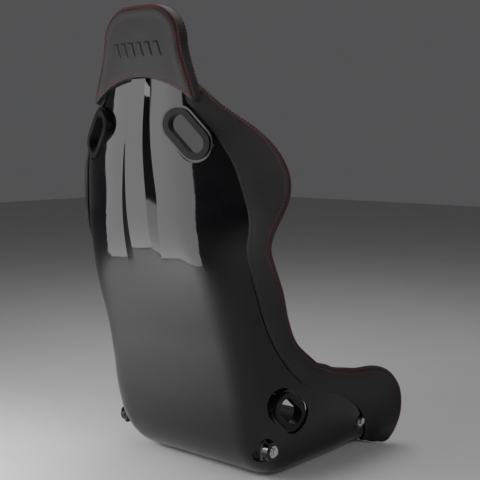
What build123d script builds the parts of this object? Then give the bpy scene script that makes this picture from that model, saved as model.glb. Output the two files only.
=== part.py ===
from build123d import *
import os
from math import atan2, cos, hypot, radians, sin

os.makedirs("parts", exist_ok=True)

# Fixed-back racing seat. Millimetres, +Z up, the occupant looks along -Y, X is across.
# The origin lies on the floor plane under the middle of the flat underside.

# ---- overall sizes ---------------------------------------------------------
head_top = 925.0           # overall height, to the top of the headrest cover
shoulder_half = 276.0      # half width at the rim's crest, at the shoulders

# The stations below are drawn for a 925 mm seat with a 276 mm half width. Everything across
# grows with the shoulders. The back grows with the height, from the top of the hips up.
drawn_height = 925.0
drawn_half = 276.0
hip_top = 250.0
neck_height = 900.0
wide = shoulder_half / drawn_half


def lifted(z):
    share = min(1.0, max(0.0, (z - hip_top) / (neck_height - hip_top)))
    return z + (head_top - drawn_height) * share


# ---- sizes -----------------------------------------------------------------
skin = 4.0                 # moulded shell thickness
rim_drop = 9.0             # how far the shell's rim lies below the leather crest
gap = 0.6                  # clearance between a cover and what it wraps
soft_gap = 1.6             # clearance under loose cushions and pads
leather = 2.6              # outside leg of the rim cover
lining = 3.0               # thickness of the inner lining

ridge_half_top = 19.0      # half width of the flat on the central ridge, at the neck
ridge_half_low = 28.0      # the same at mid-back
ridge_flank_top = 4.0      # width of the slope beside it, at the neck
ridge_flank_low = 20.0     # the same at mid-back
ridge_rise = 9.0           # how far the ridge stands out of the back
ridge_begin = lifted(845)  # heights between which the ridge fades in, and out again
ridge_full = lifted(775)
ridge_fade = lifted(560)
ridge_end = lifted(425)

head_radius = 76.0         # radius of the headrest cover's upper corners
head_half_low = 139.0 * wide   # half width at its hem
head_half_high = 107.0 * wide  # half width below the upper corners
head_hem_side = lifted(731)    # hem height at the sides
head_hem_top = lifted(787)     # hem height in the middle of the back
head_rear = 207.0          # rear face
head_front = 172.0         # front face
head_inset = 12.0          # how far the shell stays inside the cover's outline

slot_long = 90.0           # harness slot
slot_wide = 42.0
ring_band = 9.0            # width of a grommet's flange
ring_thick = 4.0
ring_wall = 2.5            # wall of the sleeve in the slot
land_margin = 5.0          # flat land round a grommet
shoulder_slot_x = 121.0 * wide
shoulder_slot_z = lifted(683)
lap_slot_x = 207.5 * wide
lap_slot_z = 142.0

bolt_size = 8.0            # M8 side-mount bolts
bolt_hole = 9.0
bolt_face = 208.0 * wide   # outer face of the mounting bosses, from the middle plane
boss_depth = 12.0
bolt_inner = bolt_face - boss_depth
bolt_rear_y = 55.0
bolt_pitch = 300.0         # front to rear
bolt_rear_z = 72.0
bolt_front_z = 65.0
boss_radius = 19.0
washer_radius = 12.0
washer_thick = 2.0
washer_sunk = 0.4          # the washers sit in a shallow spot-face
hex_across = 13.0
hex_high = 5.5
plate_side = 34.0
plate_thick = 6.0

cover_inside = 34.0        # how far the rim cover reaches down the inside
pad_thick = 17.0           # bolster pads
pad_start = 14.0           # they start this far down from the crest
pad_reach = 118.0          # how far the shoulder pads reach down from the crest
pad_reach_low = 92.0       # how far the rib and thigh pads reach
cushion_half = 164.0 * wide    # seat cushion, half width
cushion_thick = 44.0
back_pad_half = 122.0 * wide
back_pad_thick = 24.0
strip_thick = 0.8          # hook-and-loop strips under the cushions
lip_half = 154.0 * wide    # front roll, half width
set_back = 67.0            # moves the model so the origin is under its middle
slot_keep = 172.0 * wide   # shoulder pads stop this far from the middle, beside the slots
head_pad_half = 96.0 * wide    # headrest pad
head_pad_low = lifted(742)
head_pad_high = head_top - 20
head_pad_thick = 46.0
crotch_y = -150.0          # slot for the crotch straps

# Stations down the back and along the pan. Each row: centre of the outer skin (y, z),
# crest of the rim (x, y, z), distance from the middle where the wall's line meets the flat,
# softness of that corner, width of the leather band outside.
rows = [
    (189, 940, 101, 185, 940, 84, 16, 30),
    (190, 905, 101, 185, 905, 84, 16, 30),
    (192, 865, 103, 185, 865, 84, 18, 30),
    (193, 821, 110, 183, 821, 86, 22, 30),
    (196, 782, 126, 176, 782, 94, 30, 40),
    (200, 745, 151, 160, 745, 104, 38, 50),
    (204, 718, 182, 139, 718, 114, 50, 68),
    (207, 690, 217, 119, 690, 126, 56, 80),
    (209, 660, 247, 108, 660, 134, 60, 90),
    (209, 630, 267, 103, 630, 138, 60, 90),
    (208, 600, 276, 100, 600, 139, 60, 88),
    (206, 568, 276, 102, 568, 140, 60, 77),
    (205, 534, 266, 109, 534, 142, 58, 57),
    (203, 505, 253, 115, 505, 146, 56, 43),
    (199, 475, 243, 113, 475, 152, 54, 41),
    (192, 439, 234, 89, 439, 166, 54, 46),
    (176, 385, 227, 55, 385, 180, 56, 54),
    (158, 332, 224, 35, 331, 186, 58, 52),
    (143, 285, 224, 15, 289, 188, 56, 49),
    (131, 232, 225, 2, 272, 189, 52, 45),
    (123, 195, 225, -6, 265, 190, 50, 44),
    (116, 155, 226, -15, 257, 191, 48, 45),
    (105, 112, 228, -36, 241, 191, 45, 47),
    (92, 75, 229, -57, 226, 191, 45, 49),
    (66, 36, 231, -82, 218, 191, 48, 49),
    (28, 9, 232, -108, 207, 191, 52, 48),
    (-25, 0, 234, -141, 200, 191, 54, 50),
    (-100, -0.5, 236, -185, 191, 191, 55, 60),
    (-190, -0.5, 240, -252, 184, 191, 55, 92),
    (-250, 2.5, 242, -305, 163, 192, 55, 128),
    (-272, 4.5, 243, -341, 126, 196, 52, 134),
    (-284, 6, 243, -350, 95, 201, 48, 124),
    (-293, 7.5, 242, -346, 60, 210, 38, 106),
    (-299, 9, 240, -329, 33, 220, 22, 92),
    (-305, 11, 238, -312, 17, 231, 7, 84),
]


def ramp(value, low, at_low, high, at_high):
    share = min(1.0, max(0.0, (value - low) / (high - low)))
    return at_low + share * (at_high - at_low)


def station(row):
    cy, cz, x, y, z, heel, soft, band = row
    cz, z = lifted(cz), lifted(z)
    x, heel = x * wide, heel * wide
    deep = hypot(cy - y, z - cz)
    wall = hypot(x - heel, deep)
    bend = min(soft, 0.9 * heel, 0.85 * wall)
    ux, ut = (x - heel) / wall, deep / wall
    end = (heel + bend * ux, bend * ut)
    line = [(x + (end[0] - x) * k / 24, deep + (end[1] - deep) * k / 24) for k in range(24)]
    for k in range(25):
        q = k / 24
        a, b, c = (1 - q) ** 2, 2 * q * (1 - q), q * q
        line.append((a * end[0] + b * heel + c * (heel - bend), a * end[1]))
    line += [((heel - bend) * (1 - k / 24), 0.0) for k in range(1, 25)]
    walk = [0.0]
    for p, q in zip(line, line[1:]):
        walk.append(walk[-1] + hypot(q[0] - p[0], q[1] - p[1]))
    return {"y": cy, "z": cz, "lean": atan2(z - cz, cy - y), "line": line, "walk": walk,
            "band": band, "crest_x": x}


def spot(st, down, out):
    # A point of the section, "down" from the crest along the skin, "out" away from the seat.
    line, walk = st["line"], st["walk"]
    k = 0
    while k < len(walk) - 2 and walk[k + 1] < down:
        k += 1
    p, q = line[k], line[k + 1]
    step = walk[k + 1] - walk[k]
    share = (down - walk[k]) / step
    tx, tt = (q[0] - p[0]) / step, (q[1] - p[1]) / step
    return (p[0] + share * step * tx - out * tt, p[1] + share * step * tt + out * tx)


def place(st, side, point):
    x, t = point
    return Vector(side * x, st["y"] - t * cos(st["lean"]), st["z"] + t * sin(st["lean"]))


def curve(st, side, points):
    return Edge.make_spline([place(st, side, p) for p in points])


def straight(st, side_a, a, side_b, b):
    return Edge.make_line(place(st, side_a, a), place(st, side_b, b))


def half_length(st):
    return st["walk"][-1]


def ridge(st):
    z = st["z"]
    rise = ramp(z, ridge_full, ridge_rise, ridge_begin, 0) if z > ridge_fade else ramp(
        z, ridge_end, 0, ridge_fade, ridge_rise)
    flat = ramp(z, ridge_fade, ridge_half_low, ridge_full, ridge_half_top)
    flank = ramp(z, ridge_fade, ridge_flank_low, ridge_full, ridge_flank_top)
    return flat, flank, rise


def shell_wire(st, grow, drop):
    flat, flank, rise = ridge(st)
    foot = half_length(st) - flat - flank
    steps = 12
    outside = [spot(st, drop + (foot - drop) * k / steps, grow) for k in range(steps + 1)]
    inside = [spot(st, drop + (half_length(st) - drop) * k / steps, -skin - grow) for k in range(steps + 1)]
    top = (flat, -rise - grow)
    inner = [place(st, 1, p) for p in inside] + [place(st, -1, p) for p in inside[-2::-1]]
    edges = [
        curve(st, -1, outside),
        straight(st, -1, outside[-1], -1, top),
        straight(st, -1, top, 1, top),
        straight(st, 1, top, 1, outside[-1]),
        curve(st, 1, outside[::-1]),
        straight(st, 1, outside[0], 1, inside[0]),
        Edge.make_spline(inner),
        straight(st, -1, inside[0], -1, outside[0]),
    ]
    return Wire(edges)


def loft_of(wires):
    return Solid.make_loft(wires)


def cover_wire(st, side):
    # The rim cover: outside leg, roll over the rim, inside leg.
    band = st["band"]
    inner = cover_inside
    out_points = [spot(st, band * (1 - k / 6), gap + leather) for k in range(7)]
    roll = [(-1.5, 0.8), (-4.0, -skin / 2 - 1), (-1.5, -skin - 3.6)]
    out_points += [spot(st, rim_drop - 8 + a, b) for a, b in roll]
    out_points += [spot(st, 6 + (inner - 6) * k / 4, -skin - gap - lining) for k in range(1, 5)]
    reach = rim_drop - 1.2
    in_a = [spot(st, inner + (reach - inner) * k / 4, -skin - gap) for k in range(5)]
    in_b = [spot(st, reach + (band - reach) * k / 6, gap) for k in range(7)]
    return Wire([
        curve(st, side, out_points),
        straight(st, side, out_points[-1], side, in_a[0]),
        curve(st, side, in_a),
        straight(st, side, in_a[-1], side, in_b[0]),
        curve(st, side, in_b),
        straight(st, side, in_b[-1], side, out_points[0]),
    ])


def pad_wire(st, side, first, last, near, thick):
    # A padded strip: thin at both edges, full in the middle.
    steps = 8
    a = [spot(st, first + (last - first) * k / steps, near) for k in range(steps + 1)]
    b = []
    for k in range(steps + 1):
        q = k / steps
        full = 3 + (thick - 3) * (1 - abs(2 * q - 1) ** 3)
        b.append(spot(st, first + (last - first) * q, near - full))
    return Wire([
        curve(st, side, a),
        straight(st, side, a[-1], side, b[-1]),
        curve(st, side, b[::-1]),
        straight(st, side, b[0], side, a[0]),
    ])


def across_wire(st, half, near, thick, edge):
    # A strip across the middle, following the inside of the shell, thinner at its ends.
    steps = 10
    whole = half_length(st)
    low, high = [], []
    for k in range(steps + 1):
        q = k / steps
        low.append(spot(st, whole - half * q, near))
        full = edge + (thick - edge) * (1 - q ** 6)
        high.append(spot(st, whole - half * q, near - full))
    bottom = [place(st, -1, p) for p in low[:0:-1]] + [place(st, 1, p) for p in low]
    top = [place(st, 1, p) for p in high[:0:-1]] + [place(st, -1, p) for p in high]
    return Wire([
        Edge.make_spline(bottom),
        Edge.make_line(bottom[-1], top[0]),
        Edge.make_spline(top),
        Edge.make_line(top[-1], bottom[0]),
    ])


def lining_wire(st):
    whole = half_length(st)
    first = min(cover_inside + 1.5, 0.45 * whole)
    steps = 12
    low = [spot(st, whole + (first - whole) * k / steps, -skin - gap) for k in range(steps + 1)]
    high = [spot(st, whole + (first - whole) * k / steps, -skin - gap - lining) for k in range(steps + 1)]
    bottom = [place(st, -1, p) for p in low[:0:-1]] + [place(st, 1, p) for p in low]
    top = [place(st, 1, p) for p in high[:0:-1]] + [place(st, -1, p) for p in high]
    return Wire([
        Edge.make_spline(bottom),
        Edge.make_line(bottom[-1], top[0]),
        Edge.make_spline(top),
        Edge.make_line(top[-1], bottom[0]),
    ])


def between(y_low, y_high, z_low, z_high, x_half=400):
    size = (2 * x_half, y_high - y_low, z_high - z_low)
    centre = (0, (y_low + y_high) / 2, (z_low + z_high) / 2)
    return Pos(*centre) * Box(*size)


def oval(plane, length, width, start, end):
    # An oval prism on a plane, its long axis along the plane's own X.
    sketch = plane.offset(start) * SlotOverall(length, width)
    return extrude(sketch, end - start, dir=plane.z_dir)


def ring(plane, start, end, sleeve_end):
    flange = oval(plane, slot_long + 2 * ring_band, slot_wide + 2 * ring_band, start, end)
    sleeve = oval(plane, slot_long, slot_wide, min(start, sleeve_end), max(start, sleeve_end))
    hole = oval(plane, slot_long - 2 * ring_wall, slot_wide - 2 * ring_wall, -60, 60)
    return flange + sleeve - hole


def head_outline(inset):
    top = head_top - inset
    high = head_half_high - inset
    low = head_half_low - inset
    corner = head_top - head_radius
    r = head_radius - inset
    half_turn = r * sin(radians(45))
    side = [(low, head_hem_side - 30), (low - 3, head_hem_side + 12), (high + 8, corner - 36), (high, corner)]
    right = Edge.make_spline([Vector(x, 0, z) for x, z in side])
    turn = Edge.make_three_point_arc(
        Vector(high, 0, corner), Vector(high - r + half_turn, 0, corner + half_turn),
        Vector(high - r, 0, corner + r))
    over = Edge.make_line(Vector(high - r, 0, corner + r), Vector(r - high, 0, corner + r))
    turn_l = Edge.make_three_point_arc(
        Vector(r - high, 0, corner + r), Vector(r - high - half_turn, 0, corner + half_turn),
        Vector(-high, 0, corner))
    left = Edge.make_spline([Vector(-x, 0, z) for x, z in side[::-1]])
    base = Edge.make_line(Vector(-low, 0, side[0][1]), Vector(low, 0, side[0][1]))
    return Face(Wire([right, turn, over, turn_l, left, base]))


stations = [station(r) for r in rows]
parts = {}

# ---- shell -----------------------------------------------------------------
shell = loft_of([shell_wire(st, 0, rim_drop) for st in stations])
shell_space = loft_of([shell_wire(st, gap, rim_drop - gap) for st in stations[:8]])

dome = Solid.extrude(Pos(0, 300, 0) * head_outline(head_inset), Vector(0, -400, 0))
dome_space = Solid.extrude(Pos(0, 300, 0) * head_outline(head_inset - gap), Vector(0, -400, 0))
above = between(100, 300, head_top - head_radius - 40, head_top + 100)
shell = shell - (above - dome)
shell_space = shell_space - (above - dome_space)
floor_cut = between(-600, 400, -60, 0)
shell = shell - floor_cut


# ---- harness slots ---------------------------------------------------------
def slot_plane(side, centre, along, facing):
    x, y, z = centre
    ax, ay, az = along
    nx, ny, nz = facing
    return Plane(origin=(side * x, y, z), x_dir=(side * ax, ay, az), z_dir=(side * nx, ny, nz))


shoulder_slots = [slot_plane(s, (shoulder_slot_x, 197.5, shoulder_slot_z), (52, -17, -57), (0.31, 0.95, 0.0))
                  for s in (-1, 1)]
lap_slots = [slot_plane(s, (lap_slot_x, 7, lap_slot_z), (0, 84, 66), (1, 0, -0.18)) for s in (-1, 1)]
crotch_slot = Plane(origin=(0, crotch_y, 0), x_dir=(1, 0, 0), z_dir=(0, 0, -1))

land_long = slot_long + 2 * ring_band + 2 * land_margin
land_wide = slot_wide + 2 * ring_band + 2 * land_margin
shoulder_out, shoulder_in = 3.0, -9.0
lap_out, lap_in = 2.5, -8.5
for plane in shoulder_slots:
    shell = shell + oval(plane, land_long, land_wide, shoulder_in, shoulder_out)
for plane in lap_slots:
    shell = shell + oval(plane, land_long, land_wide, lap_in, lap_out)
for planes, low, high in ((shoulder_slots, shoulder_in, shoulder_out), (lap_slots, lap_in, lap_out)):
    for plane in planes:
        shell = shell - oval(plane, land_long, land_wide, high, high + 30)
        shell = shell - oval(plane, land_long, land_wide, low - 30, low)
        shell = shell - oval(plane, slot_long + gap, slot_wide + gap, -60, 60)
shell = shell - oval(crotch_slot, slot_long + gap, slot_wide + gap, -60, 60)

# ---- side mounts -----------------------------------------------------------
mount_points = [(s, y, z) for s in (-1, 1)
                for y, z in ((bolt_rear_y, bolt_rear_z), (bolt_rear_y - bolt_pitch, bolt_front_z))]


def across_cylinder(side, y, z, radius, start, end):
    plane = Plane(origin=(side * start, y, z), z_dir=(side, 0, 0))
    return extrude(plane * Circle(radius), end - start, dir=plane.z_dir)


def across_hex(side, y, z, flats, start, end):
    plane = Plane(origin=(side * start, y, z), z_dir=(side, 0, 0))
    return extrude(plane * RegularPolygon(flats / 2, 6, major_radius=False), end - start, dir=plane.z_dir)


plates, bolts, washers = [], [], []
for s, y, z in mount_points:
    shell = shell + across_cylinder(s, y, z, boss_radius, bolt_inner, bolt_face)
for s, y, z in mount_points:
    shell = shell - across_cylinder(s, y, z, boss_radius, bolt_face, bolt_face + 30)
    shell = shell - across_cylinder(s, y, z, plate_side * 0.75, bolt_inner - 25, bolt_inner)
    shell = shell - across_cylinder(s, y, z, bolt_hole / 2, bolt_inner - 30, bolt_face + 5)
    shell = shell - across_cylinder(s, y, z, washer_radius + 0.5, bolt_face - washer_sunk, bolt_face + 5)
    plate = Pos(s * (bolt_inner - plate_thick / 2), y, z) * Box(plate_thick, plate_side, plate_side)
    plates.append(plate - across_cylinder(s, y, z, bolt_size / 2, bolt_inner - 40, bolt_face))
    seat = bolt_face - washer_sunk
    head = seat + washer_thick
    shank = across_cylinder(s, y, z, bolt_size / 2, bolt_inner - plate_thick - 2, head)
    crown = across_hex(s, y, z, hex_across, head, head + hex_high)
    flange = across_cylinder(s, y, z, 8.5, head, head + 1.4)
    bolts.append(shank + crown + flange)
    washers.append(across_cylinder(s, y, z, washer_radius, seat, head)
                   - across_cylinder(s, y, z, bolt_size / 2 + 0.2, seat - 1, head + 5))
parts["seat_shell"] = [shell]
parts["mount_plates"] = plates
parts["mount_bolts"] = bolts
parts["mount_washers"] = washers

# ---- grommets --------------------------------------------------------------
names = {-1: "right", 1: "left"}
grommets = [("shoulder_grommet_rear_", "shoulder_grommet_front_", shoulder_slots, shoulder_in, shoulder_out),
            ("lap_grommet_outer_", "lap_grommet_inner_", lap_slots, lap_in, lap_out)]
for outside, inside, planes, low, high in grommets:
    middle = (low + high) / 2
    for side, plane in zip((-1, 1), planes):
        parts[outside + names[side]] = [ring(plane, high, high + ring_thick, middle + 0.1)]
        parts[inside + names[side]] = [ring(plane, low - ring_thick, low, middle - 0.1)]
parts["crotch_grommet"] = [ring(crotch_slot, -skin - 3 - ring_thick, -skin - 3, -0.6)]

# ---- linings ---------------------------------------------------------------
lining_all = loft_of([lining_wire(st) for st in stations])
for s, y, z in mount_points:
    lining_all = lining_all - Pos(s * bolt_face, y, z) * Box(56, plate_side + 8, plate_side + 8)
for plane in shoulder_slots + lap_slots:
    lining_all = lining_all - oval(plane, land_long + 6, land_wide + 6, -60, 60)
lining_all = lining_all - oval(crotch_slot, slot_long + 2 * ring_band + 4, slot_wide + 2 * ring_band + 4, -60, 60)
parts["back_lining"] = [lining_all & between(-400, 400, 262, head_hem_side + 4)]
parts["seat_lining"] = [lining_all & between(-292, 400, -20, 260)]

# ---- rim covers ------------------------------------------------------------
for side in (-1, 1):
    cover = loft_of([cover_wire(st, side) for st in stations[4:]])
    cover = cover & between(-600, 400, 0.3, head_hem_side + 4)
    for s, y, z in mount_points:
        if s == side:
            cover = cover - across_cylinder(s, y, z, boss_radius + 3, 150, 300)
    which = 0 if side < 0 else 1
    for plane in (lap_slots[which], shoulder_slots[which]):
        cover = cover - oval(plane, land_long + 4, land_wide + 4, -30, 30)
    parts["rim_cover_" + names[side]] = [cover]

# ---- headrest cover --------------------------------------------------------
hood = Solid.extrude(Pos(0, head_rear, 0) * head_outline(0), Vector(0, head_front - head_rear, 0))
hem_arc = Edge.make_three_point_arc(
    Vector(-head_half_low - 30, 0, head_hem_side - 26), Vector(0, 0, head_hem_top),
    Vector(head_half_low + 30, 0, head_hem_side - 26))
hem_face = Face(Wire([
    hem_arc,
    Edge.make_line(Vector(head_half_low + 30, 0, head_hem_side - 26), Vector(head_half_low + 30, 0, 640)),
    Edge.make_line(Vector(head_half_low + 30, 0, 640), Vector(-head_half_low - 30, 0, 640)),
    Edge.make_line(Vector(-head_half_low - 30, 0, 640), Vector(-head_half_low - 30, 0, head_hem_side - 26)),
]))
hood = hood - Solid.extrude(Pos(0, 300, 0) * hem_face, Vector(0, -113, 0))
hood = hood & between(100, 300, head_hem_side + 5, head_top + 100)
parts["headrest_cover"] = [hood - shell_space]

# ---- pads ------------------------------------------------------------------
near = -skin - gap - lining - soft_gap
waist = stations[13]
below_waist = station(tuple(a + (b - a) * 0.08 for a, b in zip(rows[13], rows[14])))


def pad(side, picked, last):
    wires = []
    for st in picked:
        beside_slot = (st["crest_x"] - slot_keep) * 1.28
        reach = min(last, beside_slot) if st["z"] > lifted(500) else last
        wires.append(pad_wire(st, side, pad_start, reach, near, pad_thick))
    return loft_of(wires)


for side in (-1, 1):
    parts["shoulder_pad_" + names[side]] = [pad(side, stations[7:13] + [waist], pad_reach)]
    parts["rib_pad_" + names[side]] = [pad(side, [below_waist] + stations[14:20], pad_reach_low)]
    parts["thigh_pad_" + names[side]] = [pad(side, stations[25:33], pad_reach_low)]
parts["back_cushion"] = [loft_of([across_wire(st, back_pad_half, near - strip_thick, back_pad_thick, 8)
                                  for st in stations[9:20]])]
parts["seat_cushion"] = [loft_of([across_wire(st, cushion_half, near - strip_thick, cushion_thick, 12)
                                  for st in stations[24:28]])]
parts["thigh_cushion"] = [loft_of([across_wire(st, cushion_half, near - strip_thick, cushion_thick, 12)
                                   for st in stations[28:30]])]
strip_near = -skin - gap - lining - gap
parts["hook_strips"] = [
    loft_of([across_wire(st, 60, strip_near, strip_thick, strip_thick) for st in stations[a:a + 2]])
    for a in (10, 16, 26, 28)]


def upright(half, low, high, corner, y):
    plane = Plane(origin=(0, y, (low + high) / 2), x_dir=(1, 0, 0), z_dir=(0, -1, 0))
    return (plane * RectangleRounded(2 * half, high - low, corner)).face().outer_wire()


pad_back = head_front - gap
parts["headrest_pad"] = [loft_of([
    upright(head_pad_half, head_pad_low, head_pad_high, 50, pad_back),
    upright(head_pad_half, head_pad_low, head_pad_high, 50, pad_back - head_pad_thick / 2),
    upright(head_pad_half - 26, head_pad_low + 22, head_pad_high - 22, 34, pad_back - head_pad_thick)])]

# ---- front roll ------------------------------------------------------------
lip_points = [(-266, 0.5), (-300, 4), (-316, 8), (-326, 20), (-322, 33), (-300, 38), (-266, 34),
              (-266, 17), (-292, 19.5), (-312, 19.5), (-312, 10), (-305, 9), (-266, 2.6)]
lip_plane = Plane(origin=(-lip_half, 0, 0), x_dir=(0, 1, 0), z_dir=(1, 0, 0))
lip_face = lip_plane * make_face(Polyline(*lip_points, close=True))
parts["front_roll"] = [extrude(lip_face, 2 * lip_half, dir=(1, 0, 0))]

whole = None
for name, solids in parts.items():
    pieces = []
    for item in solids:
        pieces += [Pos(0, set_back, 0) * solid for solid in item.solids()]
    shape = pieces[0] if len(pieces) == 1 else Compound(children=pieces)
    export_step(shape, f"parts/{name}.step")
    box = shape.bounding_box()
    whole = box if whole is None else whole.add(box)
    print(name, len(pieces), all(p.is_valid for p in pieces), round(sum(p.volume for p in pieces)))
print("box", whole.min, whole.max)
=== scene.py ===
import bpy
import bmesh
import math
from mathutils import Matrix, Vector
from mathutils.bvhtree import BVHTree
from mathutils.kdtree import KDTree


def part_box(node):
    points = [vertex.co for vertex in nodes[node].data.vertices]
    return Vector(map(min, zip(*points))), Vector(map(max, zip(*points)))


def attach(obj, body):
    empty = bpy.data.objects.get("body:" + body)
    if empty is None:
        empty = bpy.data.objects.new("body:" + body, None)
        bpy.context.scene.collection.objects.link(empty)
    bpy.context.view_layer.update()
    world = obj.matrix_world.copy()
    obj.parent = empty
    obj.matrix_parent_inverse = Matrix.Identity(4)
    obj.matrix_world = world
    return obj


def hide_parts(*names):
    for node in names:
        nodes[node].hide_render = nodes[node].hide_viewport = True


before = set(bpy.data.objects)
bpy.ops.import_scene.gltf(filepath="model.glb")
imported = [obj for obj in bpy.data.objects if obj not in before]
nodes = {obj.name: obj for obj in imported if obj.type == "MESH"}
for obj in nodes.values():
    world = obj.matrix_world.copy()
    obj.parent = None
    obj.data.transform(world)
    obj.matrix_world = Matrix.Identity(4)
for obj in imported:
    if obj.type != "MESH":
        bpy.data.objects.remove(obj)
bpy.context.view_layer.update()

# ---------------------------------------------------------------- camera
camera_data = bpy.data.cameras.new("seat_camera")
camera = bpy.data.objects.new("seat_camera", camera_data)
bpy.context.scene.collection.objects.link(camera)
view_turn, view_drop = math.radians(221.0), math.radians(6.2)
looking = Vector((-math.sin(view_turn) * math.cos(view_drop), math.cos(view_turn) * math.cos(view_drop), -math.sin(view_drop)))
camera.location = (-1.3285, 1.5083, 0.6775)
camera.rotation_mode = "QUATERNION"
camera.rotation_quaternion = looking.to_track_quat("-Z", "Y")
camera_data.lens, camera_data.sensor_width = 71.25, 36
camera_data.clip_start, camera_data.clip_end = 0.05, 60
bpy.context.scene.camera = camera

# ---------------------------------------------------------------- seat lines, millimetres
rows = [
    (189, 940, 101, 185, 940, 84, 16, 30), (190, 905, 101, 185, 905, 84, 16, 30),
    (192, 865, 103, 185, 865, 84, 18, 30), (193, 821, 110, 183, 821, 86, 22, 30),
    (196, 782, 126, 176, 782, 94, 30, 40), (200, 745, 151, 160, 745, 104, 38, 50),
    (204, 718, 182, 139, 718, 114, 50, 68), (207, 690, 217, 119, 690, 126, 56, 80),
    (209, 660, 247, 108, 660, 134, 60, 90), (209, 630, 267, 103, 630, 138, 60, 90),
    (208, 600, 276, 100, 600, 139, 60, 88), (206, 568, 276, 102, 568, 140, 60, 77),
    (205, 534, 266, 109, 534, 142, 58, 57), (203, 505, 253, 115, 505, 146, 56, 43),
    (199, 475, 243, 113, 475, 152, 54, 41), (192, 439, 234, 89, 439, 166, 54, 46),
    (176, 385, 227, 55, 385, 180, 56, 54), (158, 332, 224, 35, 331, 186, 58, 52),
    (143, 285, 224, 15, 289, 188, 56, 49), (131, 232, 225, 2, 272, 189, 52, 45),
    (123, 195, 225, -6, 265, 190, 50, 44), (116, 155, 226, -15, 257, 191, 48, 45),
    (105, 112, 228, -36, 241, 191, 45, 47), (92, 75, 229, -57, 226, 191, 45, 49),
    (66, 36, 231, -82, 218, 191, 48, 49), (28, 9, 232, -108, 207, 191, 52, 48),
    (-25, 0, 234, -141, 200, 191, 54, 50), (-100, -0.5, 236, -185, 191, 191, 55, 60),
    (-190, -0.5, 240, -252, 184, 191, 55, 92), (-250, 2.5, 242, -305, 163, 192, 55, 128),
    (-272, 4.5, 243, -341, 126, 196, 52, 134), (-284, 6, 243, -350, 95, 201, 48, 124),
    (-293, 7.5, 242, -346, 60, 210, 38, 106), (-299, 9, 240, -329, 33, 220, 22, 92),
    (-305, 11, 238, -312, 17, 231, 7, 84),
]
set_back = 67.0
skin, gap, leather, lining, rim_drop = 4.0, 0.6, 2.6, 3.0, 9.0
cover_inside = 34.0


def station(row):
    cy, cz, x, y, z, heel, soft, band = row
    deep, wall = math.hypot(cy - y, z - cz), 0
    wall = math.hypot(x - heel, deep)
    bend = min(soft, 0.9 * heel, 0.85 * wall)
    end = (heel + bend * (x - heel) / wall, bend * deep / wall)
    line = [(x + (end[0] - x) * k / 24, deep + (end[1] - deep) * k / 24) for k in range(24)]
    for k in range(25):
        q = k / 24
        line.append(((1 - q) ** 2 * end[0] + 2 * q * (1 - q) * heel + q * q * (heel - bend), (1 - q) ** 2 * end[1]))
    line += [((heel - bend) * (1 - k / 24), 0.0) for k in range(1, 25)]
    walk = [0.0]
    for p, q in zip(line, line[1:]):
        walk.append(walk[-1] + math.hypot(q[0] - p[0], q[1] - p[1]))
    return {"y": cy, "z": cz, "lean": math.atan2(z - cz, cy - y), "line": line, "walk": walk, "band": band}


def spot(st, side, down, out):
    line, walk = st["line"], st["walk"]
    k = 0
    while k < len(walk) - 2 and walk[k + 1] < down:
        k += 1
    p, q, step = line[k], line[k + 1], walk[k + 1] - walk[k]
    tx, tt = (q[0] - p[0]) / step, (q[1] - p[1]) / step
    x, t = p[0] + (down - walk[k]) * tx - out * tt, p[1] + (down - walk[k]) * tt + out * tx
    y, z = st["y"] - t * math.cos(st["lean"]), st["z"] + t * math.sin(st["lean"])
    return Vector((side * x, y + set_back, z)) / 1000


def between(a, b, c, d, q):
    # A smooth curve from b to c that also looks at a and d, even where they are unevenly spaced.
    ab, bc, cd = max((b - a).length, 1e-6) ** 0.5, max((c - b).length, 1e-6) ** 0.5, max((d - c).length, 1e-6) ** 0.5
    m1 = (b - a) / ab - (c - a) / (ab + bc) + (c - b) / bc
    m2 = (c - b) / bc - (d - b) / (bc + cd) + (d - c) / cd
    m1, m2 = m1 * bc, m2 * bc
    return ((2 * q ** 3 - 3 * q * q + 1) * b + (q ** 3 - 2 * q * q + q) * m1
            + (3 * q * q - 2 * q ** 3) * c + (q ** 3 - q * q) * m2)


def refine(lines, parts):
    # Adds smooth lines between the given ones, point by point.
    out = []
    for i in range(len(lines) - 1):
        before, after = lines[max(i - 1, 0)], lines[min(i + 2, len(lines) - 1)]
        for k in range(parts):
            q = k / parts
            out.append([between(before[j], lines[i][j], lines[i + 1][j], after[j], q) if q else lines[i][j].copy()
                        for j in range(len(lines[i]))])
    out.append([p.copy() for p in lines[-1]])
    return out


def add_mesh(name, verts, faces):
    mesh = bpy.data.meshes.new(name)
    mesh.from_pydata([tuple(v) for v in verts], [], faces)
    mesh.update()
    piece = bpy.data.objects.new(name, mesh)
    bpy.context.scene.collection.objects.link(piece)
    return piece


def alone(piece):
    bpy.ops.object.select_all(action="DESELECT")
    piece.select_set(True)
    bpy.context.view_layer.objects.active = piece


def apply_all(piece):
    alone(piece)
    for m in list(piece.modifiers):
        bpy.ops.object.modifier_apply(modifier=m.name)


def outward(piece):
    alone(piece)
    bpy.ops.object.mode_set(mode="EDIT")
    bpy.ops.mesh.select_all(action="SELECT")
    bpy.ops.mesh.remove_doubles(threshold=1e-5)
    bpy.ops.mesh.normals_make_consistent(inside=False)
    bpy.ops.object.mode_set(mode="OBJECT")


def smooth(piece, angle=50):
    alone(piece)
    bpy.ops.object.shade_smooth_by_angle(angle=math.radians(angle))


def finish_piece(piece, material, body="shell", stands_for=()):
    piece.data.materials.clear()
    piece.data.materials.append(material)
    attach(piece, body)
    if stands_for:
        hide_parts(*stands_for)
    return piece


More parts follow.
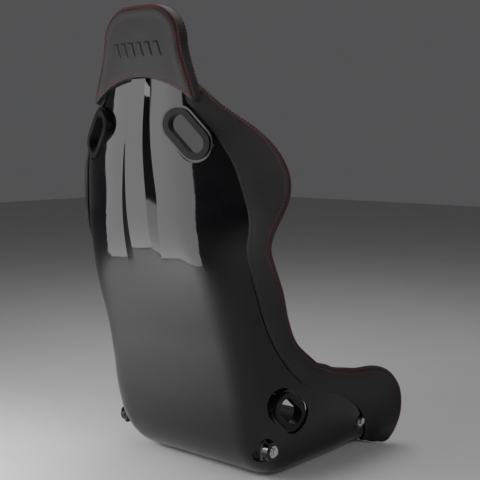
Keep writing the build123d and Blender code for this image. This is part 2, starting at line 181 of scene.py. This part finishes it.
# ---------------------------------------------------------------- finishes
def group(name, inputs, outputs):
    tree = bpy.data.node_groups.new(name, "ShaderNodeTree")
    for label, kind, value in inputs:
        socket = tree.interface.new_socket(label, in_out="INPUT", socket_type=kind)
        if value is not None:
            socket.default_value = value
    for label, kind in outputs:
        tree.interface.new_socket(label, in_out="OUTPUT", socket_type=kind)
    return tree, tree.nodes.new("NodeGroupInput"), tree.nodes.new("NodeGroupOutput")


def node(tree, kind, **values):
    n = tree.nodes.new("ShaderNode" + kind)
    for key, value in values.items():
        if key in n.inputs:
            n.inputs[key].default_value = value
        else:
            setattr(n, key, value)
    return n


def maths(tree, kind, a, b=None):
    n = tree.nodes.new("ShaderNodeMath")
    n.operation = kind
    for socket, value in zip(n.inputs, (a, b)):
        if value is None:
            continue
        if isinstance(value, (int, float)):
            socket.default_value = value
        else:
            tree.links.new(value, socket)
    return n.outputs[0]


def ramp(tree, value, low, high, to_low=0.0, to_high=1.0):
    n = tree.nodes.new("ShaderNodeMapRange")
    tree.links.new(value, n.inputs["Value"])
    n.inputs["From Min"].default_value, n.inputs["From Max"].default_value = low, high
    n.inputs["To Min"].default_value, n.inputs["To Max"].default_value = to_low, to_high
    return n.outputs["Result"]


def make_grain():
    # Pressed leather grain: small rounded cells with finer creases, and slow colour change.
    tree, start, end = group("leather_grain", [("Vector", "NodeSocketVector", None), ("Cell", "NodeSocketFloat", 700.0)],
                             [("Height", "NodeSocketFloat"), ("Patch", "NodeSocketFloat")])
    link = tree.links.new
    warp = node(tree, "TexNoise", Scale=160.0, Detail=2.0)
    link(start.outputs["Vector"], warp.inputs["Vector"])
    shift = tree.nodes.new("ShaderNodeVectorMath")
    shift.operation = "MULTIPLY_ADD"
    link(warp.outputs["Color"], shift.inputs[0])
    shift.inputs[1].default_value = (0.0016, 0.0016, 0.0016)
    link(start.outputs["Vector"], shift.inputs[2])
    cells = node(tree, "TexVoronoi", feature="DISTANCE_TO_EDGE")
    link(shift.outputs[0], cells.inputs["Vector"])
    link(start.outputs["Cell"], cells.inputs["Scale"])
    crease = ramp(tree, cells.outputs["Distance"], 0.0, 0.22)
    fine = node(tree, "TexNoise", Scale=1400.0, Detail=3.0)
    link(start.outputs["Vector"], fine.inputs["Vector"])
    link(maths(tree, "ADD", crease, maths(tree, "MULTIPLY", fine.outputs["Fac"], 0.35)), end.inputs["Height"])
    slow = node(tree, "TexNoise", Scale=9.0, Detail=4.0)
    link(start.outputs["Vector"], slow.inputs["Vector"])
    link(slow.outputs["Fac"], end.inputs["Patch"])
    return tree


def make_nap():
    # Brushed cloth: a short nap with slow brushed patches over a fine knit.
    tree, start, end = group("brushed_nap", [("Vector", "NodeSocketVector", None)],
                             [("Height", "NodeSocketFloat"), ("Patch", "NodeSocketFloat")])
    link = tree.links.new
    hair = node(tree, "TexNoise", Scale=1800.0, Detail=4.0, Roughness=0.7)
    brush = node(tree, "TexNoise", Scale=14.0, Detail=5.0, Roughness=0.6, Distortion=0.6)
    knit = node(tree, "TexVoronoi", Scale=900.0)
    for n in (hair, brush, knit):
        link(start.outputs["Vector"], n.inputs["Vector"])
    link(maths(tree, "ADD", hair.outputs["Fac"], maths(tree, "MULTIPLY", knit.outputs["Distance"], 0.5)), end.inputs["Height"])
    link(brush.outputs["Fac"], end.inputs["Patch"])
    return tree


def make_scuff():
    # Fine scuffs and handling haze, for hard pieces.
    tree, start, end = group("handling_haze", [("Vector", "NodeSocketVector", None), ("Scale", "NodeSocketFloat", 6.0)],
                             [("Haze", "NodeSocketFloat"), ("Ripple", "NodeSocketFloat")])
    link = tree.links.new
    haze = node(tree, "TexNoise", Detail=6.0, Roughness=0.62, Distortion=0.4)
    link(start.outputs["Vector"], haze.inputs["Vector"])
    link(start.outputs["Scale"], haze.inputs["Scale"])
    link(haze.outputs["Fac"], end.inputs["Haze"])
    peel = node(tree, "TexNoise", Scale=120.0, Detail=1.0)
    link(start.outputs["Vector"], peel.inputs["Vector"])
    link(peel.outputs["Fac"], end.inputs["Ripple"])
    return tree


grain, nap, haze = make_grain(), make_nap(), make_scuff()


def material(name, colour, rough, metal=0.0, sheen=0.0, coat=0.0, specular=0.5):
    m = bpy.data.materials.new(name)
    m.use_nodes = True
    m.diffuse_color = (*colour, 1)
    tree = m.node_tree
    shader = tree.nodes["Principled BSDF"]
    shader.inputs["Base Color"].default_value = (*colour, 1)
    shader.inputs["Roughness"].default_value = rough
    shader.inputs["Metallic"].default_value = metal
    shader.inputs["Sheen Weight"].default_value = sheen
    shader.inputs["Sheen Roughness"].default_value = 0.4
    shader.inputs["Coat Weight"].default_value = coat
    shader.inputs["Coat Roughness"].default_value = 0.03
    shader.inputs["Specular IOR Level"].default_value = specular
    coords = tree.nodes.new("ShaderNodeTexCoord")
    return m, tree, shader, coords.outputs["Object"]


def use(tree, which, vector, **values):
    n = tree.nodes.new("ShaderNodeGroup")
    n.node_tree = which
    tree.links.new(vector, n.inputs["Vector"])
    for key, value in values.items():
        n.inputs[key].default_value = value
    return n


def colours(tree, value, low, high, dark, light):
    n = tree.nodes.new("ShaderNodeValToRGB")
    n.color_ramp.elements[0].position, n.color_ramp.elements[1].position = low, high
    n.color_ramp.elements[0].color, n.color_ramp.elements[1].color = (*dark, 1), (*light, 1)
    tree.links.new(value, n.inputs["Fac"])
    return n.outputs["Color"]


def bump(tree, shader, height, strength, distance):
    n = node(tree, "Bump", Strength=strength, Distance=distance)
    tree.links.new(height, n.inputs["Height"])
    tree.links.new(n.outputs["Normal"], shader.inputs["Normal"])
    return n


def leather_finish(name, dark, light, cell=620.0):
    m, tree, shader, place = material(name, light, 0.5, sheen=0.06, specular=0.36)
    g = use(tree, grain, place, Cell=cell)
    tree.links.new(colours(tree, g.outputs["Patch"], 0.35, 0.68, dark, light), shader.inputs["Base Color"])
    rough = maths(tree, "ADD", ramp(tree, g.outputs["Patch"], 0.3, 0.7, 0.44, 0.54),
                  maths(tree, "MULTIPLY", g.outputs["Height"], 0.06))
    tree.links.new(rough, shader.inputs["Roughness"])
    bump(tree, shader, g.outputs["Height"], 0.35, 0.0004)
    return m


def cloth_finish(name, dark, light):
    m, tree, shader, place = material(name, light, 0.9, sheen=0.35)
    g = use(tree, nap, place)
    tree.links.new(colours(tree, g.outputs["Patch"], 0.38, 0.62, dark, light), shader.inputs["Base Color"])
    tree.links.new(ramp(tree, g.outputs["Patch"], 0.3, 0.7, 0.82, 0.95), shader.inputs["Roughness"])
    bump(tree, shader, g.outputs["Height"], 0.5, 0.0005)
    return m


def hard_finish(name, dark, light, low, high, metal=0.0, coat=0.0, scale=6.0, ripple=0.02, specular=0.5):
    m, tree, shader, place = material(name, light, low, metal=metal, coat=coat, specular=specular)
    g = use(tree, haze, place, Scale=scale)
    tree.links.new(colours(tree, g.outputs["Haze"], 0.35, 0.7, dark, light), shader.inputs["Base Color"])
    tree.links.new(ramp(tree, g.outputs["Haze"], 0.4, 0.75, low, high), shader.inputs["Roughness"])
    bump(tree, shader, g.outputs["Ripple"], ripple, 0.001)
    return m


gel_coat = hard_finish("black_gel_coat", (0.004, 0.004, 0.005), (0.007, 0.007, 0.008), 0.05, 0.12,
                       scale=5.0, ripple=0.02)
cover_leather = leather_finish("rim_leather", (0.017, 0.015, 0.016), (0.029, 0.026, 0.027))
pad_leather = leather_finish("pad_leather", (0.014, 0.013, 0.014), (0.024, 0.022, 0.023), 560.0)
suede = cloth_finish("black_suede", (0.012, 0.012, 0.013), (0.026, 0.026, 0.028))
lining_cloth = cloth_finish("lining_suede", (0.010, 0.010, 0.011), (0.020, 0.020, 0.022))
grommet_plastic = hard_finish("grommet_satin", (0.008, 0.008, 0.009), (0.016, 0.016, 0.017), 0.40, 0.52, scale=20,
                              ripple=0.12, specular=0.22)
zinc = hard_finish("bright_zinc", (0.50, 0.50, 0.49), (0.74, 0.74, 0.73), 0.16, 0.34, metal=1.0, scale=60, ripple=0.1)
plate_paint = hard_finish("plate_paint", (0.010, 0.010, 0.010), (0.022, 0.022, 0.022), 0.4, 0.55, scale=40, ripple=0.2)
hook_tape = cloth_finish("hook_tape", (0.010, 0.010, 0.010), (0.018, 0.018, 0.018))


def thread_finish(name, dark, light):
    m, tree, shader, place = material(name, light, 0.6, sheen=0.2)
    twist = node(tree, "TexWave", Scale=900.0, Distortion=1.5)
    tree.links.new(place, twist.inputs["Vector"])
    tree.links.new(colours(tree, twist.outputs["Fac"], 0.2, 0.8, dark, light), shader.inputs["Base Color"])
    tree.links.new(ramp(tree, twist.outputs["Fac"], 0, 1, 0.5, 0.7), shader.inputs["Roughness"])
    bump(tree, shader, twist.outputs["Fac"], 0.4, 0.0003)
    return m


red_thread = thread_finish("red_thread", (0.12, 0.004, 0.006), (0.27, 0.009, 0.014))
black_thread = thread_finish("black_thread", (0.020, 0.020, 0.020), (0.050, 0.048, 0.048))

plain = {"seat_shell": gel_coat, "mount_bolts": zinc, "mount_washers": zinc, "mount_plates": plate_paint, "hook_strips": hook_tape}
for name, obj in nodes.items():
    if "grommet" in name:
        plain[name] = grommet_plastic
for name, finish in plain.items():
    obj = nodes[name]
    obj.data.materials.clear()
    obj.data.materials.append(finish)

# ---------------------------------------------------------------- padded pieces
def swell(node_name, name, finish, body, voxel=0.0055, pressure=4.0, cap=0.006, fine=1, trim=None):
    source = nodes[node_name]
    piece = source.copy()
    piece.data = source.data.copy()
    for key in list(piece.keys()):
        del piece[key]
    piece.name = name
    piece.parent = None
    bpy.context.scene.collection.objects.link(piece)
    outward(piece)
    if trim:
        low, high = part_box(node_name)
        for v in piece.data.vertices:
            v.co.x *= trim[0]
            v.co.y = high.y + (v.co.y - high.y) * trim[1]
            v.co.z = (low.z + high.z) / 2 + (v.co.z - (low.z + high.z) / 2) * trim[2]
    m = piece.modifiers.new("even", "REMESH")
    m.mode, m.voxel_size = "VOXEL", voxel
    apply_all(piece)
    rest = [v.co.copy() for v in piece.data.vertices]
    alone(piece)
    cloth = piece.modifiers.new("swell", "CLOTH")
    s = cloth.settings
    s.use_pressure, s.uniform_pressure_force = True, pressure
    s.effector_weights.gravity = 0
    s.quality, s.mass = 5, 0.3
    s.tension_stiffness = s.compression_stiffness = 12
    s.bending_stiffness = 1.5
    cloth.point_cache.frame_start, cloth.point_cache.frame_end = 1, 20
    for f in range(1, 21):
        bpy.context.scene.frame_set(f)
    apply_all(piece)
    for v, r in zip(piece.data.vertices, rest):
        d = v.co - r
        if d.length > cap:
            v.co = r + d * (cap / d.length)
    bpy.context.scene.frame_set(1)
    relax = piece.modifiers.new("relax", "SMOOTH")
    relax.factor, relax.iterations = 0.5, 4
    if fine:
        sub = piece.modifiers.new("fine", "SUBSURF")
        sub.levels = sub.render_levels = fine
    apply_all(piece)
    alone(piece)
    bpy.ops.object.shade_smooth()
    finish_piece(piece, finish, body, (node_name,))
    return piece


def sew_channels(piece, marks, facing, depth=0.0030, width=0.0042):
    # Presses sewn channels into the side that faces "facing": marks are (point, direction across the channel).
    facing = Vector(facing).normalized()
    normals = [v.normal.copy() for v in piece.data.vertices]
    for v, n in zip(piece.data.vertices, normals):
        if n.dot(facing) < 0.35:
            continue
        push = 0.0
        for point, across in marks:
            d = (v.co - point).dot(across)
            push += math.exp(-(d / width) ** 2)
        v.co -= n * depth * min(push, 1.0)
    piece.data.update()


pads = {}
for side in ("left", "right"):
    for kind in ("shoulder", "rib", "thigh"):
        pads[kind, side] = swell(f"{kind}_pad_{side}", f"{kind}_bolster_{side}", pad_leather, "shell", cap=0.003)
head_pad = swell("headrest_pad", "headrest_cushion", suede, "shell", cap=0.004, trim=(0.80, 0.72, 0.88))
swell("front_roll", "front_roll_cover", pad_leather, "shell", voxel=0.004, cap=0.002)
back_pad = swell("back_cushion", "back_cushion_cover", suede, "back_cushion", cap=0.004)
seat_pad = swell("seat_cushion", "seat_cushion_cover", suede, "seat_cushion", cap=0.005)
thigh_pad = swell("thigh_cushion", "thigh_cushion_cover", suede, "thigh_cushion", cap=0.005)

back_low, back_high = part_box("back_cushion")
back_lines = [back_low.z + (back_high.z - back_low.z) * k / 6 for k in range(1, 6)]
sew_channels(back_pad, [(Vector((0, 0, z)), Vector((0, 0, 1))) for z in back_lines], (0, -1, 0.2))
seat_low, seat_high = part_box("seat_cushion")
seat_lines = [seat_low.y + 0.045 + 0.05 * k for k in range(3)]
sew_channels(seat_pad, [(Vector((0, y, 0)), Vector((0, 1, 0))) for y in seat_lines], (0, 0, 1))
thigh_low, thigh_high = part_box("thigh_cushion")
thigh_lines = [(thigh_low.y + thigh_high.y) / 2 - 0.008]
sew_channels(thigh_pad, [(Vector((0, y, 0)), Vector((0, 1, 0))) for y in thigh_lines], (0, 0, 1))

# ---------------------------------------------------------------- rim covers
stations = [station(r) for r in rows]


def cover_section(st, side):
    # Hem, outside leg, crest, roll over the rim, inside leg, then back along the shell.
    band = st["band"]
    path = [(band, gap + 0.4), (band, gap + leather)]
    for k in range(1, 13):
        q = k / 12
        path.append((band * (1 - q), gap + leather + 3.4 * math.sin(math.pi * q) ** 0.8))
    path += [(-3.0, 0.6 + gap), (-5.2, -2.0), (-5.6, -5.0), (-4.0, -8.6), (0.0, -10.4), (6.0, -10.8)]
    path += [(6 + 7 * k, -10.8 + 0.8 * k) for k in range(1, 4)]
    path += [(cover_inside, -8.0), (cover_inside, -skin - gap), (20.0, -skin - gap), (rim_drop - 1.2, -skin - gap)]
    path += [(rim_drop - 1.2, gap)]
    path += [(rim_drop + (band - rim_drop) * k / 6, gap) for k in range(1, 6)]
    return [spot(st, side, a, b) for a, b in path]


def rim_cover(side, label):
    used = stations[4:]
    lines = refine([cover_section(st, side) for st in used], 5)
    lines = [l for l in lines if max(p.z for p in l) <= cover_top]
    for l in lines:
        # The last stretch thins out and sinks into the headrest cover.
        end = min(1.0, max(0.0, (max(p.z for p in l) - 0.742) / (cover_top - 0.742)))
        middle = sum(l, Vector()) / len(l)
        for p in l:
            p.xy = middle.lerp(p, 1 - 0.6 * end * end).xy * (1 - 0.05 * end)
            p.z = max(p.z, 0.0008)
    wide = len(lines[0])
    verts = [p for l in lines for p in l]
    faces = [(i * wide + j, i * wide + (j + 1) % wide, (i + 1) * wide + (j + 1) % wide, (i + 1) * wide + j)
             for i in range(len(lines) - 1) for j in range(wide)]
    faces.append(tuple(range(wide)))
    faces.append(tuple(range((len(lines) - 1) * wide, len(lines) * wide))[::-1])
    piece = add_mesh("rim_leather_" + label, verts, faces)
    outward(piece)
    smooth(piece, 55)
    finish_piece(piece, cover_leather, "shell", ("rim_cover_" + label,))
    return piece


cover_top = 0.781
covers = {"left": rim_cover(1, "left"), "right": rim_cover(-1, "right")}


# ---------------------------------------------------------------- headrest cover
head_top, head_radius, head_half_low, head_half_high = 925.0, 76.0, 139.0, 107.0
head_hem_side, head_hem_top, head_rear, head_front = 731.0, 787.0, 207.0, 172.0


def shape_head(point):
    # Tapers the cover towards its top, and curves its rear panel forward at the sides.
    up = min(1.0, max(0.0, (point.z - 0.745) / 0.12))
    top = max(0.0, (point.z - 0.84) / 0.085)
    curve = 0.008 * (point.x / 0.12) ** 2 * min(1.0, max(0.0, (point.y - 0.239) / 0.035))
    return Vector((point.x * (1 - 0.055 * up * up * (3 - 2 * up)), point.y - curve, point.z - 0.005 * top * top))


def head_edge(inset, y, low=700.0):
    # The cover's outline seen from behind, from one hem corner over the top to the other.
    corner, r = head_top - head_radius, head_radius - inset
    wide = head_half_high - inset
    side = [(head_half_low - inset, 701), (head_half_low - 3 - inset, 743), (wide + 8, corner - 36), (wide, corner)]
    half = []
    lines = refine([[Vector((x, 0, z))] for x, z in side], 12)
    half += [l[0] for l in lines]
    for k in range(1, 13):
        turn = math.pi / 2 * k / 12
        half.append(Vector((wide - r + r * math.cos(turn), 0, corner + r * math.sin(turn))))
    for k in range(1, 7):
        half.append(Vector(((wide - r) * (1 - k / 6), 0, head_top - inset)))
    whole = half + [Vector((-p.x, 0, p.z)) for p in half[-2::-1]]
    return [shape_head(Vector((p.x, y + set_back, p.z)) / 1000) for p in whole if p.z >= low]


def hem_height(x):
    # The arched lower hem, as a circle through its middle and its two corners.
    half, low, high = head_half_low + 30, head_hem_side - 26, head_hem_top
    rise = high - low
    radius = (half * half + rise * rise) / (2 * rise)
    return high - radius + math.sqrt(max(radius * radius - x * x, 0))


def make_hood():
    source = nodes["headrest_cover"]
    piece = add_mesh("headrest_leather", [v.co for v in source.data.vertices], [tuple(p.vertices) for p in source.data.polygons])
    outward(piece)
    m = piece.modifiers.new("even", "REMESH")
    m.mode, m.voxel_size = "VOXEL", 0.0032
    m = piece.modifiers.new("relax", "SMOOTH")
    m.factor, m.iterations = 0.5, 9
    m = piece.modifiers.new("fine", "SUBSURF")
    m.levels = m.render_levels = 1
    apply_all(piece)
    for v in piece.data.vertices:
        v.co = shape_head(v.co)
    piece.data.update()
    edges = head_edge(0, head_rear, 730) + head_edge(0, head_front, 730)
    dense = [p.lerp(q, k / 4) for p, q in zip(edges, edges[1:]) if (q - p).length < 0.03 for k in range(4)]
    near = KDTree(len(dense))
    for i, p in enumerate(dense):
        near.insert(p, i)
    near.balance()
    normals = [v.normal.copy() for v in piece.data.vertices]
    for v, n in zip(piece.data.vertices, normals):
        spot_at, i, d = near.find(v.co)
        v.co -= n * 0.0016 * math.exp(-(d / 0.0026) ** 2)
        v.co += n * 0.0012 * math.exp(-((d - 0.011) / 0.008) ** 2)
        if n.y > 0.4:
            across, up = v.co.x / 0.105, (v.co.z - 0.83) / 0.10
            v.co.y += 0.0035 * max(0, 1 - across * across) * max(0, 1 - up * up)
            hem = v.co.z - hem_height(v.co.x * 1000) / 1000
            if 0 <= hem < 0.03:
                v.co.y += 0.0008 * math.exp(-(hem / 0.0012) ** 2) - 0.0008 * math.exp(-((hem - 0.005) / 0.0018) ** 2)
    alone(piece)
    bpy.ops.object.shade_smooth()
    finish_piece(piece, cover_leather, "shell", ("headrest_cover",))
    return piece


hood = make_hood()

# ---------------------------------------------------------------- stitching
def tree_of(piece):
    return BVHTree.FromPolygons([v.co for v in piece.data.vertices], [p.vertices for p in piece.data.polygons])


def seam(name, path, surface, body="shell", pitch=0.0066, length=0.0050, radius=0.0008, lift=0.0002,
         finish=None):
    # One row of thread along a path, laid on a surface: each stitch dips at both ends.
    verts, faces = [], []
    walk, points = 0.0, [path[0]]
    marks = []
    for p, q in zip(path, path[1:]):
        step = (q - p).length
        while walk + step >= len(marks) * pitch:
            share = (len(marks) * pitch - walk) / step
            marks.append(p.lerp(q, share))
        walk += step
    for a, b in zip(marks, marks[1:]):
        ahead = (b - a).normalized()
        middle = (a + b) / 2
        hit = surface.find_nearest(middle)
        if hit[0] is None or (hit[0] - middle).length > 0.02:
            continue
        centre, normal = hit[0], hit[1]
        ahead = (ahead - ahead.dot(normal) * normal).normalized()
        cross = ahead.cross(normal)
        rings = ((-0.5, 0.35, -0.5), (-0.36, 0.9, 0.1), (0.0, 1.0, 0.45), (0.36, 0.9, 0.1), (0.5, 0.35, -0.5))
        base = len(verts)
        for along, wide, high in rings:
            for k in range(6):
                turn = math.pi * k / 3
                verts.append(centre + ahead * (along * length) + cross * (math.cos(turn) * radius * wide)
                             + normal * (lift + high * radius + math.sin(turn) * radius * wide))
        for r in range(4):
            for k in range(6):
                faces.append((base + r * 6 + k, base + r * 6 + (k + 1) % 6, base + (r + 1) * 6 + (k + 1) % 6, base + (r + 1) * 6 + k))
        faces.append(tuple(base + k for k in range(6))[::-1])
        faces.append(tuple(base + 24 + k for k in range(6)))
    piece = add_mesh(name, verts, faces)
    outward(piece)
    alone(piece)
    bpy.ops.object.shade_smooth()
    finish_piece(piece, finish or red_thread, body)
    return piece


for label, side in (("left", 1), ("right", -1)):
    surface = tree_of(covers[label])
    for title, picker in (("crest_outer", lambda st: (5.0, 4.0)), ("crest_inner", lambda st: (-4.6, 1.0)),
                          ("hem", lambda st: (st["band"] - 5.0, 4.0))):
        lines = refine([[spot(st, side, *picker(st))] for st in stations[4:]], 8)
        top = 0.735 if title == "hem" else cover_top - 0.004
        path = [l[0] for l in lines if l[0].z < top]
        seam(f"stitches_{title}_{label}", path, surface, finish=black_thread if title == "hem" else red_thread)

back_tree, seat_tree, thigh_tree, head_tree = (tree_of(p) for p in (back_pad, seat_pad, thigh_pad, head_pad))


def drop_on(surface, points, towards):
    found = [surface.ray_cast(p, Vector(towards)) for p in points]
    return [h[0] for h in found if h[0] is not None]


steps = [k / 20 * 2 - 1 for k in range(21)]
for k, z in enumerate(back_lines):
    for row, dz in (("a", -0.0045), ("b", 0.0045)):
        line = drop_on(back_tree, [Vector((t * 0.104, -0.2, z + dz)) for t in steps], (0, 1, 0))
        seam(f"stitches_back_{k}{row}", line, back_tree, "back_cushion")
for k, y in enumerate(seat_lines):
    for row, dy in (("a", -0.0045), ("b", 0.0045)):
        line = drop_on(seat_tree, [Vector((t * 0.128, y + dy, 0.4)) for t in steps], (0, 0, -1))
        seam(f"stitches_seat_{k}{row}", line, seat_tree, "seat_cushion")
for k, y in enumerate(thigh_lines):
    for row, dy in (("a", -0.0045), ("b", 0.0045)):
        line = drop_on(thigh_tree, [Vector((t * 0.128, y + dy, 0.4)) for t in steps], (0, 0, -1))
        seam(f"stitches_thigh_{k}{row}", line, thigh_tree, "thigh_cushion")
pad_low, pad_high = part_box("headrest_pad")
middle, wide, high = (pad_low + pad_high) / 2, (pad_high.x - pad_low.x) / 2 - 0.044, (pad_high.z - pad_low.z) / 2 - 0.034
ring = []
for k in range(73):
    turn = 2 * math.pi * k / 72
    c, n = math.cos(turn), math.sin(turn)
    ring.append(Vector((middle.x + wide * math.copysign(abs(c) ** 0.55, c), -0.2, middle.z + high * math.copysign(abs(n) ** 0.55, n))))
seam("stitches_head_pad", drop_on(head_tree, ring, (0, 1, 0)), head_tree, "shell")
for (kind, label), piece in pads.items():
    side, surface = (1 if label == "left" else -1), tree_of(piece)
    first, last = {"shoulder": (7, 14), "rib": (13, 20), "thigh": (25, 33)}[kind]
    lines = refine([[spot(st, side, 22, -34)] for st in stations[first:last]], 8)
    path = [l[0] for l in lines]
    seam(f"stitches_{kind}_{label}", path[4:-4], surface, "shell")

hood_tree = tree_of(hood)
for title, inset, y in (("rear_panel", 4.6, head_rear), ("rear_gusset", 0.0, head_rear - 4.6),
                        ("front_gusset", 0.0, head_front + 4.6), ("front_panel", 4.6, head_front)):
    seam("stitches_head_" + title, head_edge(inset, y, 744), hood_tree)
hem_path = [Vector((x, head_rear + set_back, hem_height(x) + 5.5)) / 1000 for x in range(-126, 127, 6)]
seam("stitches_head_hem", hem_path, hood_tree)


def motif(name, centre_x, centre_z, wide, high, lean):
    # One raised slanted bar, pressed up through the leather.
    verts, faces = [], []
    cols, lines = 8, 14
    for j in range(lines + 1):
        for i in range(cols + 1):
            u, v = i / cols * 2 - 1, j / lines * 2 - 1
            x = centre_x + u * wide / 2 + v * high / 2 * lean
            z = centre_z + v * high / 2
            hit = hood_tree.ray_cast(Vector((x, 0.4, z)), Vector((0, -1, 0)))
            edge = min((1 - abs(u)) * wide / 2, (1 - abs(v)) * high / 2)
            lift = 0.0014 * min(1, edge / 0.0022) ** 0.6 - 0.0004
            verts.append(hit[0] + hit[1] * lift)
    wide_count = cols + 1
    for j in range(lines):
        for i in range(cols):
            k = j * wide_count + i
            faces.append((k, k + 1, k + wide_count + 1, k + wide_count))
    piece = add_mesh(name, verts, faces)
    m = piece.modifiers.new("body", "SOLIDIFY")
    m.thickness, m.offset = 0.001, -1
    apply_all(piece)
    outward(piece)
    smooth(piece, 60)
    finish_piece(piece, cover_leather, "shell")


for k in range(6):
    motif(f"head_bar_{k}", (k - 2.5) * 0.0215, 0.839, 0.0125, 0.027, 0.35)


# ---------------------------------------------------------------- linings
def stadium_cutter(name, origin, along, facing, length, width, deep):
    along, facing = Vector(along).normalized(), Vector(facing).normalized()
    side = facing.cross(along).normalized()
    along = side.cross(facing).normalized()
    r, half = width / 2, (length - width) / 2
    ring = []
    for k in range(17):
        turn = -math.pi / 2 + math.pi * k / 16
        ring.append((half + r * math.cos(turn), r * math.sin(turn)))
    ring += [(-x, -y) for x, y in ring]
    verts = [(Vector(origin) + along * x + side * y + facing * d) / 1000 for d in (-deep, deep) for x, y in ring]
    n = len(ring)
    faces = [(k, (k + 1) % n, n + (k + 1) % n, n + k) for k in range(n)] + [tuple(range(n))[::-1], tuple(range(n, 2 * n))]
    cutter = add_mesh(name, verts, faces)
    outward(cutter)
    return cutter


def cut_away(piece, cutters):
    for c in cutters:
        m = piece.modifiers.new("cut", "BOOLEAN")
        m.operation, m.solver, m.object = "DIFFERENCE", "EXACT", c
    apply_all(piece)


def lining_sheet(name, node_name, first_row, last_row, z_low, z_high, y_low):
    lines = []
    for st in stations[first_row:last_row]:
        whole = st["walk"][-1]
        first = min(cover_inside + 1.5, 0.45 * whole)
        downs = [first + (whole - first) * k / 22 for k in range(23)]
        top = [spot(st, 1, d, -skin - gap - lining) for d in downs] + [spot(st, -1, d, -skin - gap - lining) for d in downs[-2::-1]]
        low = [spot(st, -1, d, -skin - gap) for d in downs] + [spot(st, 1, d, -skin - gap) for d in downs[-2::-1]]
        lines.append(top + low)
    lines = refine(lines, 5)
    wide = len(lines[0])
    verts = [p for l in lines for p in l]
    faces = [(i * wide + j, i * wide + (j + 1) % wide, (i + 1) * wide + (j + 1) % wide, (i + 1) * wide + j)
             for i in range(len(lines) - 1) for j in range(wide)]
    faces.append(tuple(range(wide)))
    faces.append(tuple(range((len(lines) - 1) * wide, len(lines) * wide))[::-1])
    piece = add_mesh(name, verts, faces)
    outward(piece)
    cutters = []
    for s in (-1, 1):
        cutters.append(stadium_cutter("c", (s * 121, 197.5 + set_back, 683), (s * 52, -17, -57), (s * 0.31, 0.95, 0), 124, 76, 60))
        cutters.append(stadium_cutter("c", (s * 207.5, 7 + set_back, 142), (0, 84, 66), (s, 0, -0.18), 124, 76, 60))
        for y, z in ((55, 72), (-245, 65)):
            cutters.append(stadium_cutter("c", (s * 208, y + set_back, z), (0, 1, 0), (s, 0, 0), 50, 49.9, 30))
    cutters.append(stadium_cutter("c", (0, -150 + set_back, 0), (1, 0, 0), (0, 0, 1), 112, 64, 60))
    corner_low, corner_high = Vector((0, (y_low + 400) / 2, (z_low + z_high) / 2)), None
    bpy.ops.object.select_all(action="DESELECT")
    bpy.ops.mesh.primitive_cube_add(size=1, location=corner_low / 1000)
    keep = bpy.context.active_object
    keep.scale = (1.2, (400 - y_low) / 1000, (z_high - z_low) / 1000)
    bpy.ops.object.transform_apply(location=True, rotation=True, scale=True)
    m = piece.modifiers.new("keep", "BOOLEAN")
    m.operation, m.solver, m.object = "INTERSECT", "EXACT", keep
    cut_away(piece, cutters)
    for c in cutters + [keep]:
        bpy.data.objects.remove(c)
    smooth(piece, 40)
    finish_piece(piece, lining_cloth, "shell", (node_name,))
    return piece


lining_sheet("back_lining_cloth", "back_lining", 4, 22, 262, 735, -400 )
lining_sheet("seat_lining_cloth", "seat_lining", 17, 33, -20, 260, -225)

# ---------------------------------------------------------------- floor and light
bpy.ops.object.select_all(action="DESELECT")
bpy.ops.mesh.primitive_plane_add(size=14, location=(0, 0, -0.0005))
floor = bpy.context.active_object
floor.name = "studio_floor"
m, tree, shader, place = material("floor_paper", (0.62, 0.62, 0.62), 0.7)
speck = use(tree, haze, place, Scale=3.0)
tree.links.new(colours(tree, speck.outputs["Haze"], 0.2, 0.8, (0.60, 0.60, 0.60), (0.66, 0.66, 0.66)), shader.inputs["Base Color"])
floor.data.materials.append(m)


def softbox(name, spot_at, look_at, wide, high, power):
    data = bpy.data.lights.new(name, "AREA")
    data.shape, data.size, data.size_y, data.energy = "RECTANGLE", wide, high, power
    lamp = bpy.data.objects.new(name, data)
    bpy.context.scene.collection.objects.link(lamp)
    lamp.location = spot_at
    lamp.visible_camera = False
    lamp.rotation_mode = "QUATERNION"
    lamp.rotation_quaternion = (Vector(look_at) - Vector(spot_at)).to_track_quat("-Z", "Y")
    return lamp


softbox("back_box", (0.42, 1.04, 0.57), (0, 0.27, 0.52), 1.05, 1.12, 11)
softbox("floor_box", (0.46, 0.84, 0.5), (0.46, 0.84, 0), 0.5, 0.5, 8)
softbox("key_box", (-2.4, 0.7, 1.6), (-0.1, 0, 0.5), 0.9, 1.2, 20)
softbox("top_box", (0.3, -0.6, 2.4), (0, 0, 0.4), 1.4, 1.4, 18)
world = bpy.data.worlds.new("studio")
bpy.context.scene.world = world
world.use_nodes = True
world.node_tree.nodes["Background"].inputs["Color"].default_value = (0.32, 0.32, 0.33, 1)
world.node_tree.nodes["Background"].inputs["Strength"].default_value = 0.28
